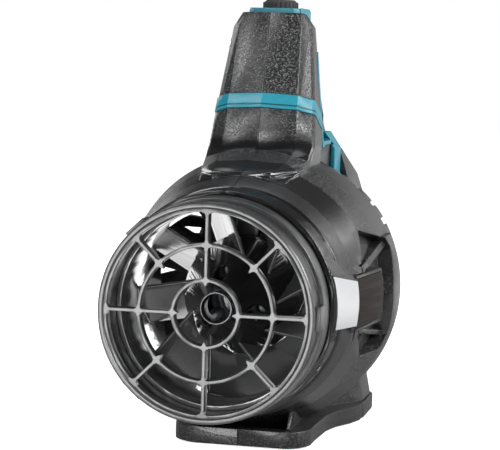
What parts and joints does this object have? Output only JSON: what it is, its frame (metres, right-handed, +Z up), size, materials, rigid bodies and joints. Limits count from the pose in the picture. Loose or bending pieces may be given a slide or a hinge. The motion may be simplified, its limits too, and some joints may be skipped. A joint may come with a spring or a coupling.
{
  "type": "cordless leaf blower power head",
  "caption": "Handheld axial leaf blower body with a guarded outlet collar, motor and fan in a duct, a leaning handle with trigger and speed dial, and a slide-on battery.",
  "frame": {"origin": "on the ground, in the parting plane, under the middle of the foot", "axes": "+Z up; -Y the way the air leaves; +X to the right of someone who faces the outlet from the front"},
  "size_m": [0.178, 0.3852, 0.2828],
  "materials": {
    "shell_black": "moulded nylon, medium spark texture",
    "gloss_black": "smooth moulded plastic, semi gloss",
    "teal_plastic": "moulded plastic, fine texture, dark teal",
    "rubber_black": "soft overmoulded rubber",
    "fan_plastic": "glass filled nylon",
    "steel": "bright zinc",
    "motor_steel": "blackened steel",
    "copper": "varnished copper winding",
    "contact_brass": "bright contact metal",
    "label_dark": "smooth label plate, plain",
    "heat_aluminium": "extruded, satin",
    "board_green": "varnished circuit board",
    "wire_red": "wire insulation",
    "cell_wrap": "battery cells in a shrink wrap",
    "switch_black": "switch case"
  },
  "bodies": {
    "power_head": {"outlet_collar": "gloss_black", "collar_seal": "rubber_black", "outlet_grille": "gloss_black", "stator_duct": "gloss_black", "nose_cone": "gloss_black", "nose_screws": "steel", "motor_can": "motor_steel", "motor_coils": "copper", "bearing_front": "steel", "bearing_rear": "steel", "motor_screws": "steel", "housing_left": "shell_black", "housing_right": "shell_black", "housing_screws": "steel", "intake_cover": "shell_black", "label_left": "label_dark", "label_right": "label_dark", "neck_band": "teal_plastic", "handle_left": "shell_black", "handle_right": "shell_black", "handle_screws": "steel", "handle_liner": "teal_plastic", "base_band": "teal_plastic", "grip_pad": "rubber_black", "trigger_pin": "steel", "trigger_spring": "steel", "trigger_switch": "switch_black", "dial_bezel": "teal_plastic", "dial_sensor": "switch_black", "control_board": "board_green", "board_heatsink": "heat_aluminium", "motor_leads": "wire_red", "battery_dock": "shell_black", "dock_terminals": "contact_brass", "foot_sole": "rubber_black"},
    "rotor": {"motor_rotor": "motor_steel", "motor_shaft": "steel", "fan": "fan_plastic", "fan_nut": "steel", "fan_spinner": "fan_plastic"},
    "trigger_lever": {"trigger": "shell_black"},
    "dial": {"speed_dial": "rubber_black"},
    "battery": {"battery_case": "shell_black", "battery_lid": "shell_black", "battery_cells": "cell_wrap", "battery_terminals": "contact_brass", "latch_spring": "steel"},
    "latch": {"battery_latch": "teal_plastic"}
  },
  "joints": [
    {"name": "fan_spin", "type": "hinge", "parent": "power_head", "child": "rotor", "pos_m": [0, 0, 0.096], "axis": [0, -1, 0], "continuous": true},
    {"name": "trigger_pull", "type": "hinge", "parent": "power_head", "child": "trigger_lever", "pos_m": [0, 0.031, 0.243], "axis": [1, 0, 0], "range_deg": [0, 12], "stiffness_Nm_per_rad": 0.6, "springref_deg": -8.59},
    {"name": "speed_dial_turn", "type": "hinge", "parent": "power_head", "child": "dial", "pos_m": [0, 0.012, 0.277], "axis": [0, 0, 1], "range_deg": [-135, 135]},
    {"name": "battery_slide", "type": "slide", "parent": "power_head", "child": "battery", "axis": [0, 1, 0], "range_m": [0, 0.1]},
    {"name": "latch_press", "type": "slide", "parent": "battery", "child": "latch", "axis": [0, 0, -1], "range_m": [0, 0.0035], "stiffness_N_per_m": 1500, "springref_m": -0.002, "deforming": ["latch_spring"]}
  ]
}
